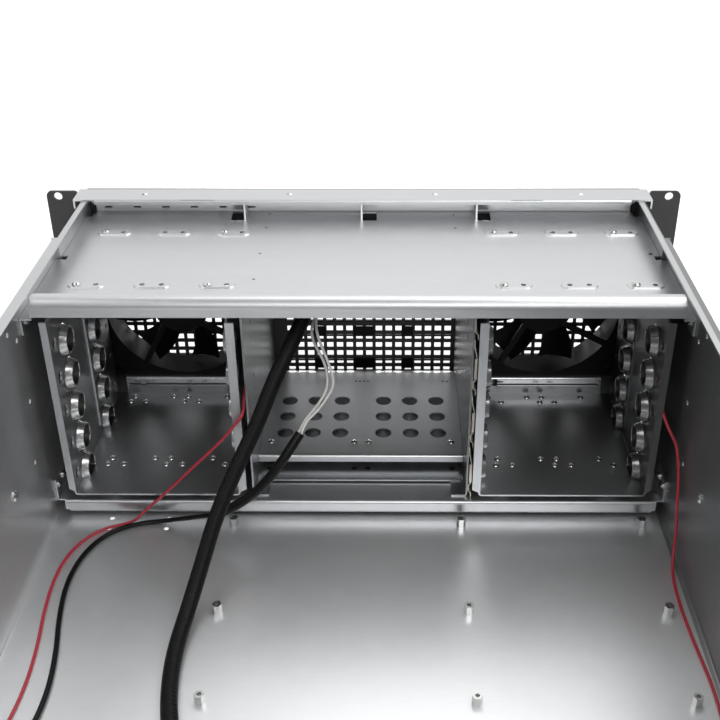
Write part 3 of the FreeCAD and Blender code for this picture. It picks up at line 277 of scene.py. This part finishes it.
# painted shade: the inside of each collar's bore is painted near black, where light does not reach
painted_bore_shade = Finish("collar_bores_painted_shade")
painted_bore_shade.shade(Base_Color=(0.10, 0.098, 0.094), Metallic=0.9,
                 Roughness=0.42 + painted_bore_shade.noise(300.0) * 0.1)
for cage, centre in (("left", -cage_middle), ("right", cage_middle)):
    for wall, side in (("left", -1), ("right", 1)):
        stands = [(centre + side * cage_half, front - depth, row) for depth in collar_depths
                  for row in drive_rows]
        turned(cage + "_cage_" + wall + "_collars", stands, (-side, 0, 0), flank, "zinc_steel",
               collar_sheet, cage_floor + 0.0002)
        turned(cage + "_cage_" + wall + "_bores", stands, (-side, 0, 0), bore, "zinc_steel",
               painted_bore_shade.material, cage_floor + 0.0003)
    floor_screws = []
    for depth, columns in ((56, (-40.4, -10.2, 1.1, 31.8)), (63, (-42.6, -30.9, -0.9, 10.5)),
                           (138.2, (-40.3, -9.5, 1.9, 32.1)), (145.6, (-42.1, -30.6, -0.2, 11.4, 41.7))):
        floor_screws += [(centre + across / 1000, front - depth / 1000, cage_floor) for across in columns]
    turned(cage + "_cage_threads", floor_screws, (0, 0, 1), floor_rim, "zinc_steel", collar_sheet)


def drawn_strip(name, section, reach, material):
    """A strip folded to one section, whose rows are Y and Z, and drawn out along X."""
    strip = bmesh.new()
    ends = [[strip.verts.new((x, y, z)) for y, z in section] for x in (-reach, reach)]
    for k in range(len(section)):
        strip.faces.new((ends[0][k - 1], ends[0][k], ends[1][k], ends[1][k - 1]))
    for end in ends:
        strip.faces.new(end)
    return new_object(name, sheet_mesh(name, strip), "case", "zinc_steel", material)


hem = [(0.0800, 0.0070), (0.0801, 0.0058), (0.0806, 0.0047), (0.0816, 0.0038), (0.0831, 0.0032),
       (0.0834, 0.0042), (0.0824, 0.0048), (0.0815, 0.0056), (0.0811, 0.0066), (0.0811, 0.0070)]
hem_reach = 0.2035
drawn_strip("base_hem", hem, hem_reach, base_sheet)

spring = Finish("spring_strip")
spring.shade(Base_Color=(0.84, 0.79, 0.68), Metallic=0.55, Roughness=0.34 + spring.noise(300.0) * 0.12)
dress(spring.material, "bay_springs")


# ---- screws, rivets and standoffs ----------------------------------------------------------------------
# Nickel-plated pan heads and hexagonal standoffs, and black screws that hold the ears.  The shelf is
# riveted, and the sheets keep small marks where they were spot-welded.  Flat dark discs lie over the
# holes of the plate below the shelf, as painted shade in those holes.

nickel = Finish("nickel_plate")
nickel.shade(Base_Color=(0.66, 0.66, 0.65), Metallic=1.0, Roughness=0.17 + nickel.noise(500.0) * 0.12)
dress(nickel.material, "tray_screws", "base_screws", "wall_screws", "slot_screws", "roof_rivets",
      "standoffs")
# The black finish of the ear screws also serves the discs of painted shade in the plate's holes.
screw_black_and_hole_shade = Finish("oxide_black_and_painted_shade")
screw_black_and_hole_shade.shade(Base_Color=(0.03, 0.03, 0.03), Metallic=0.6, Roughness=0.34 + screw_black_and_hole_shade.noise(400.0) * 0.1)
dress(screw_black_and_hole_shade.material, "ear_screws")
tray_top = 0.1605
shelf_top = 0.027
plate_top = 0.0167
rivet_depth = 0.119
slot_depth = 0.1373
seam_depth = 0.0343
shelf_places = [(side * x, front - rivet_depth, shelf_top) for side in (-1, 1) for x in (0.066, 0.0052)]
rivet_head = [(0.0, 0.0024), (0.0004, 0.0023), (0.0008, 0.0018), (0.001, 0.0010), (0.00105, 0.0001)]
turned("shelf_rivets", shelf_places, (0, 0, 1), rivet_head, "screw_steel", nickel.material)
weld_mark = Finish("weld_mark")
weld_mark.shade(Base_Color=(0.20, 0.20, 0.205), Metallic=0.8, Roughness=0.4 + weld_mark.noise(400.0) * 0.1)
weld_places = [(-0.0706, front - depth, tray_top) for depth in (0.009, 0.0349, 0.0798, 0.1206)]
weld_places += [(0.0688, front - depth, tray_top) for depth in (0.0107, 0.0357)]
weld_places += [(x, front - seam_depth, shelf_top)
                for x in (-0.0062, -0.0030, 0.0002, 0.0034, 0.0634, 0.0666)]
turned("weld_marks", weld_places, (0, 0, 1), [(0.00002, 0.0011), (0.00012, 0.0008), (0.00014, 0.0001)],
       "zinc_steel", weld_mark.material, 0.0, 16)
# painted shade: flat black discs over the plate's holes stand for the shade inside them
plate_places = [(side * x, front - slot_depth, plate_top) for side in (-1, 1) for x in (0.066, 0.0048)]
turned("plate_hole_painted_shade", plate_places, (0, 0, 1), [(0.00001, 0.0022), (0.00006, 0.0020), (0.00007, 0.0001)],
       "zinc_steel", screw_black_and_hole_shade.material)


# ---- the front panel, its mesh and the rack ears -------------------------------------------------------
# Steel with a fine black powder coat.  The mesh is three sheets with square holes, spot-welded behind the
# windows of the panel, so light comes through it between the bays.

coat = Finish("powder_coat")
peel = coat.noise(900.0, 2.0)
coat.shade(Base_Color=coat.blend(coat.noise(40.0, 3.0), (0.030, 0.030, 0.031), (0.046, 0.046, 0.048)),
           Roughness=0.5 + (peel - 0.5) * 0.12, Normal=coat.bump(peel, 0.00005, 0.5))
dress(coat.material, "front_panel", "left_ear", "right_ear")

hole_wide = 0.0052
hole_tall = 0.0046
pitch_across = 0.0080
pitch_up = 0.0077
lowest_row = 0.01865
rim = 0.002


def cuts(low, high, first, pitch, wide):
    """Where the edges of a row of holes lie between two borders."""
    edges = [low]
    middle = first
    while middle + wide / 2 < high - rim:
        edges += [middle - wide / 2, middle + wide / 2]
        middle += pitch
    return edges + [high]


def square_mesh(name, node, first_across, first_up):
    """A flat sheet with square holes in rows, as thick as the node that it stands for."""
    low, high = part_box(node)
    across = cuts(low[0], high[0], first_across, pitch_across, hole_wide)
    up = cuts(low[2], high[2], first_up, pitch_up, hole_tall)
    sheet = bmesh.new()
    grid = [[sheet.verts.new((x, high[1], z)) for z in up] for x in across]
    for i in range(len(across) - 1):
        for j in range(len(up) - 1):
            if i % 2 == 0 or j % 2 == 0:
                sheet.faces.new((grid[i][j], grid[i][j + 1], grid[i + 1][j + 1], grid[i + 1][j]))
    grown = bmesh.ops.extrude_face_region(sheet, geom=sheet.faces[:])
    moved = [item for item in grown["geom"] if isinstance(item, bmesh.types.BMVert)]
    bmesh.ops.translate(sheet, verts=moved, vec=(0, low[1] - high[1], 0))
    piece = new_object(name, sheet_mesh(name, sheet), "case", "black_paint", coat.material)
    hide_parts(node)
    return piece


half_across = int((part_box("middle_grille")[1][0] - 2 * rim) / pitch_across) - 0.5
square_mesh("middle_mesh", "middle_grille", -half_across * pitch_across, lowest_row)
for side in ("left", "right"):
    low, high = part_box(side + "_grille")
    middle = (low[0] + high[0]) / 2
    row = lowest_row
    while row - hole_tall / 2 < low[2] + rim / 2:
        row += pitch_up
    square_mesh(side + "_mesh", side + "_grille", middle - 6.5 * pitch_across, row)


# ---- the fans ------------------------------------------------------------------------------------------
# Moulded black plastic: a matt square frame with struts to the motor seat, and a rotor with swept blades.
# The frames stand on the brackets, and the clips of the middle mesh are of the same plastic.

frame_plastic = Finish("fan_frame_plastic")
grain = frame_plastic.noise(1300.0, 2.0)
frame_plastic.shade(Base_Color=(0.005, 0.005, 0.0055), Specular_IOR_Level=0.12,
                    Roughness=0.45 + (grain - 0.5) * 0.1, Normal=frame_plastic.bump(grain, 0.00004, 0.5))
dress(frame_plastic.material, "left_fan_frame", "right_fan_frame", "mesh_clips")

rotor_plastic = Finish("fan_rotor_plastic")
rotor_plastic.shade(Base_Color=(0.006, 0.006, 0.0065), Specular_IOR_Level=0.22,
                    Roughness=0.36 + rotor_plastic.noise(60.0) * 0.08)
dress(rotor_plastic.material, "left_fan_rotor", "right_fan_rotor")


# ---- switches, lamps and ports -------------------------------------------------------------------------
# Two sprung buttons, two clear lamp lenses and two ports on a small board behind the panel.
# The buttons and lenses are moulded; the ports' shells are stamped and plated.

button_plastic = Finish("button_plastic")
button_plastic.shade(Base_Color=(0.035, 0.035, 0.036), Roughness=0.32 + button_plastic.noise(200.0) * 0.08)
dress(button_plastic.material, "power_button", "reset_button")

lens_plastic = Finish("lens_plastic")
lens_plastic.shade(Base_Color=(0.78, 0.80, 0.79), Roughness=0.16 + lens_plastic.noise(150.0) * 0.06)
dress(lens_plastic.material, "lamp_lenses")

board = Finish("circuit_board")
tracks = board.noise(240.0, 5.0, (1.0, 1.0, 0.2))
board.shade(Base_Color=board.blend(tracks, (0.012, 0.070, 0.036), (0.030, 0.125, 0.060)), Roughness=0.38)
dress(board.material, "io_board")

stamped = Finish("stamped_shell")
stamped.shade(Base_Color=(0.60, 0.60, 0.60), Metallic=1.0, Roughness=0.26 + stamped.noise(300.0) * 0.1)
dress(stamped.material, "usb_ports")


# ---- leads ---------------------------------------------------------------------------------------------
# A sleeved cable from the front ports, a white pair from the switches that runs through a shrunk sleeve
# into one thin lead, and a red lead from each fan.  All are limp, lie on the floor and end in plugs.

def cord_piece(name, diameter, route, material, slot):
    """A round cord on one smooth line; a route's rows are X, depth behind the panel and Z, in metres."""
    curve = bpy.data.curves.new(name, "CURVE")
    curve.dimensions = "3D"
    curve.bevel_depth = diameter / 2
    curve.bevel_resolution = 5
    curve.resolution_u = 12
    curve.use_fill_caps = True
    line = curve.splines.new("NURBS")
    line.points.add(len(route) - 1)
    for point, (x, depth, z) in zip(line.points, route):
        point.co = (x, front - depth, z, 1.0)
    line.order_u = 3
    line.use_endpoint_u = True
    piece = new_object(name, curve, "case", slot, material)
    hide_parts(name.replace("_line", ""))
    return piece


def soft_cover(name, colour, roughness, grain_scale, gleam=0.5):
    """The plastic round a wire: a fine grain, and as much gleam as the plastic has."""
    finish = Finish(name)
    grain = finish.noise(grain_scale, 3.0)
    dark = tuple(0.75 * level for level in colour)
    finish.shade(Base_Color=finish.blend(grain, dark, colour), Roughness=roughness + (grain - 0.5) * 0.1,
                 Specular_IOR_Level=gleam, Normal=finish.bump(grain, 0.00005, 0.5))
    return finish.material


braid = Finish("braided_sleeve")
strands = braid.node("ShaderNodeTexWave", {"bands_direction": "DIAGONAL"},
                     {"Vector": braid.place, "Scale": 260.0, "Distortion": 1.5, "Detail": 2.0}, "Fac")
braid.shade(Base_Color=braid.blend(strands, (0.003, 0.003, 0.003), (0.010, 0.010, 0.011)),
            Specular_IOR_Level=0.18, Roughness=0.4 + strands * 0.12,
            Normal=braid.bump(strands, 0.0002, 0.7))

io_route = [(-0.033, 0.0226, 0.1425), (-0.033, 0.050, 0.1435), (-0.0332, 0.092, 0.149),
            (-0.0316, 0.133, 0.151), (-0.0408, 0.162, 0.1395), (-0.0539, 0.181, 0.118),
            (-0.0631, 0.196, 0.097), (-0.077, 0.213, 0.0725), (-0.0892, 0.232, 0.049),
            (-0.0975, 0.253, 0.0255), (-0.104, 0.278, 0.0095), (-0.107, 0.306, 0.0062),
            (-0.105, 0.339, 0.0062), (-0.098, 0.370, 0.0062), (-0.0945, 0.398, 0.0062),
            (-0.0955, 0.424, 0.0062)]
io_cable = cord_piece("io_cable_line", 0.010, io_route, braid.material, "black_sleeve")

pair_a = [(-0.0172, 0.0226, 0.1425), (-0.018, 0.042, 0.1435), (-0.0215, 0.076, 0.1485),
          (-0.025, 0.112, 0.150), (-0.027, 0.140, 0.1485), (-0.0280, 0.156, 0.141),
          (-0.0207, 0.166, 0.127), (-0.0145, 0.1715, 0.110), (-0.0218, 0.1754, 0.099),
          (-0.0276, 0.1786, 0.092), (-0.0350, 0.1812, 0.0861), (-0.0372, 0.1859, 0.080)]
pair_b = [(-0.0148, 0.0226, 0.1425), (-0.0155, 0.042, 0.143), (-0.0175, 0.076, 0.145),
          (-0.023, 0.110, 0.146), (-0.0285, 0.136, 0.143), (-0.0322, 0.153, 0.1355),
          (-0.0208, 0.164, 0.120), (-0.0195, 0.1705, 0.1065), (-0.0262, 0.1752, 0.096),
          (-0.0357, 0.1794, 0.0861), (-0.039, 0.1841, 0.080)]
lead_route = [(-0.093, 0.202, 0.0265), (-0.0999, 0.200, 0.0234), (-0.1085, 0.1955, 0.0187),
              (-0.1175, 0.190, 0.0129), (-0.1275, 0.184, 0.0068), (-0.1385, 0.181, 0.0028),
              (-0.1505, 0.183, 0.0028), (-0.1615, 0.1872, 0.0028), (-0.172, 0.1945, 0.0028),
              (-0.180, 0.206, 0.0028), (-0.186, 0.223, 0.0028), (-0.188, 0.247, 0.0028),
              (-0.1845, 0.276, 0.0028), (-0.178, 0.307, 0.0028), (-0.175, 0.338, 0.0028),
              (-0.178, 0.368, 0.0028), (-0.184, 0.394, 0.0028), (-0.186, 0.416, 0.0028)]
white_cover = soft_cover("white_insulation", (0.80, 0.79, 0.76), 0.38, 500.0)
black_cover = soft_cover("black_insulation", (0.007, 0.007, 0.007), 0.34, 600.0, 0.2)
red_cover = soft_cover("red_insulation", (0.52, 0.035, 0.06), 0.34, 500.0)
wire_a = cord_piece("switch_wire_a_line", 0.0018, pair_a, white_cover, "white_wire")
wire_b = cord_piece("switch_wire_b_line", 0.0018, pair_b, white_cover, "white_wire")
dress(black_cover, "wire_sleeve")
thin_lead = cord_piece("switch_lead_line", 0.0032, lead_route, black_cover, "black_wire")

left_route = [(-0.0804, 0.045, 0.083), (-0.0786, 0.059, 0.0855), (-0.0774, 0.084, 0.090),
              (-0.0769, 0.116, 0.0945), (-0.0766, 0.149, 0.0965), (-0.0763, 0.1685, 0.0964),
              (-0.0744, 0.1829, 0.0934), (-0.0806, 0.1838, 0.0855), (-0.0918, 0.1843, 0.0715),
              (-0.111, 0.1846, 0.052), (-0.1309, 0.184, 0.0305), (-0.1475, 0.1832, 0.0145),
              (-0.1555, 0.1831, 0.005), (-0.1645, 0.1838, 0.0022), (-0.175, 0.1875, 0.0022),
              (-0.186, 0.1975, 0.0022), (-0.194, 0.213, 0.0022), (-0.1975, 0.234, 0.0022),
              (-0.1965, 0.264, 0.0022), (-0.1915, 0.298, 0.0022), (-0.1895, 0.332, 0.0022),
              (-0.1925, 0.364, 0.0022), (-0.197, 0.390, 0.0022), (-0.198, 0.412, 0.0044)]
right_route = [(0.1968, 0.045, 0.084), (0.1993, 0.057, 0.086), (0.2018, 0.080, 0.090),
               (0.203, 0.112, 0.0945), (0.2028, 0.143, 0.0967), (0.1989, 0.168, 0.096),
               (0.199, 0.182, 0.0913), (0.2028, 0.187, 0.0835), (0.2073, 0.191, 0.076),
               (0.2081, 0.1965, 0.0675), (0.2088, 0.202, 0.057), (0.2085, 0.2075, 0.042),
               (0.2092, 0.213, 0.0245), (0.2085, 0.2175, 0.011), (0.2068, 0.2245, 0.0034),
               (0.2045, 0.238, 0.0022), (0.2033, 0.262, 0.0022), (0.2045, 0.294, 0.0022),
               (0.207, 0.328, 0.0022), (0.2055, 0.360, 0.0022), (0.201, 0.388, 0.0022),
               (0.1995, 0.412, 0.0044)]
left_lead = cord_piece("left_fan_lead_line", 0.0020, left_route, red_cover, "red_wire")
right_lead = cord_piece("right_fan_lead_line", 0.0020, right_route, red_cover, "red_wire")

plug_plastic = Finish("plug_plastic")
plug_plastic.shade(Base_Color=(0.03, 0.03, 0.03), Roughness=0.4 + plug_plastic.noise(400.0) * 0.1)
dress(plug_plastic.material, "io_plug", "switch_plug", "left_fan_plug", "right_fan_plug")


# ---- the studio ----------------------------------------------------------------------------------------
# A pale floor, a white surround that is darker behind and overhead in reflections, four broad soft lamps,
# a small one that looks in at the middle window, and the camera above and behind the open case.

floor_mesh = bpy.data.meshes.new("studio_floor")
reach = 6.0
corners = [(-reach, -reach, 0), (reach, -reach, 0), (reach, reach, 0), (-reach, reach, 0)]
floor_mesh.from_pydata(corners, [], [(0, 1, 2, 3)])
studio_floor = bpy.data.objects.new("studio_floor", floor_mesh)
studio_floor.location.z = -0.0004
bpy.context.scene.collection.objects.link(studio_floor)


def looked_at(tree):
    """One where the set is looked at, straight or in a mirror, and nought where it only gives light."""
    seen = 0.0
    for kind in ("Is Camera Ray", "Is Glossy Ray", "Is Transmission Ray"):
        ray = tree.node("ShaderNodeLightPath", {}, {}, kind)
        seen = tree.node("ShaderNodeMath", {"operation": "MAXIMUM"}, {0: ray, 1: seen})
    return seen


pale = Finish("pale_floor")
distance = pale.node("ShaderNodeVectorMath", {"operation": "LENGTH"}, {0: pale.place}, "Value")
glow = pale.blend(pale.span(distance, 0.7, 2.2), (0.5, 0.5, 0.5), (1.0, 1.0, 1.0))
pale.shade(Base_Color=(0.90, 0.90, 0.90), Roughness=0.9, Emission_Strength=1.0,
           Emission_Color=pale.blend(looked_at(pale), (0.0, 0.0, 0.0), glow))
floor_mesh.materials.append(pale.material)

world = bpy.data.worlds.new("studio_world")
bpy.context.scene.world = world
world.use_nodes = True
sky = NodeTree(world.node_tree)
surround = sky.tree.nodes["Background"]
seen = looked_at(sky)
way = sky.node("ShaderNodeTexCoord", {}, {}, "Generated")
ceiling = sky.span(sky.along(way, "Z"), 0.62, 0.9, 1.0, 0.40)
backdrop = sky.span(sky.along(way, "Y"), -0.1, 0.3, 0.12, 1.0)
mirrored = sky.node("ShaderNodeLightPath", {}, {}, "Is Glossy Ray")
sky.plug(surround.inputs["Strength"],
         seen * (1 - mirrored) + mirrored * ceiling * backdrop + (1 - seen) * 0.25)
sky.plug(surround.inputs["Color"], (1.0, 1.0, 1.0))


def soft_lamp(name, place, aim, size, power):
    """A rectangular lamp that is turned toward the point that it aims at."""
    lamp = bpy.data.lights.new(name, "AREA")
    lamp.shape = "RECTANGLE"
    lamp.size = size[0]
    lamp.size_y = size[1]
    lamp.energy = power
    item = bpy.data.objects.new(name, lamp)
    item.location = place
    item.rotation_euler = (Vector(aim) - Vector(place)).to_track_quat("-Z", "Y").to_euler()
    bpy.context.scene.collection.objects.link(item)


soft_lamp("rear_lamp", (0.15, -1.5, 1.25), (0.1, 0.1, 0.05), (0.9, 0.9), 9.0)
soft_lamp("left_lamp", (-0.75, -0.25, 1.05), (0.0, 0.05, 0.1), (0.7, 0.7), 2.6)
soft_lamp("right_lamp", (0.65, -0.25, 1.10), (0.0, 0.05, 0.1), (0.8, 0.8), 4.4)
soft_lamp("window_lamp", (0.0, 0.80, 0.075), (0.0, 0.1, 0.03), (0.34, 0.09), 1.3)
soft_lamp("overhead_lamp", (0.30, 0.45, 1.40), (0.1, 0.1, 0.1), (1.4, 0.9), 8.0)

camera_place = (0.01947, -0.50919, 0.47713)
camera_yaw = -0.0117
camera_pitch = 0.5339
camera_roll = -0.0042
forward = Vector((math.sin(camera_yaw) * math.cos(camera_pitch),
                  math.cos(camera_yaw) * math.cos(camera_pitch), -math.sin(camera_pitch)))
level_right = Vector((math.cos(camera_yaw), -math.sin(camera_yaw), 0.0))
level_up = level_right.cross(forward)
right = math.cos(camera_roll) * level_right + math.sin(camera_roll) * level_up
up = right.cross(forward)
lens = bpy.data.cameras.new("studio_camera")
lens.sensor_width = 36.0
lens.lens = 53.35
lens.shift_x = -0.024
camera = bpy.data.objects.new("studio_camera", lens)
camera.matrix_world = Matrix.Translation(camera_place) @ Matrix((right, up, -forward)).transposed().to_4x4()
bpy.context.scene.collection.objects.link(camera)
bpy.context.scene.camera = camera
bpy.context.scene.view_settings.view_transform = "Standard"
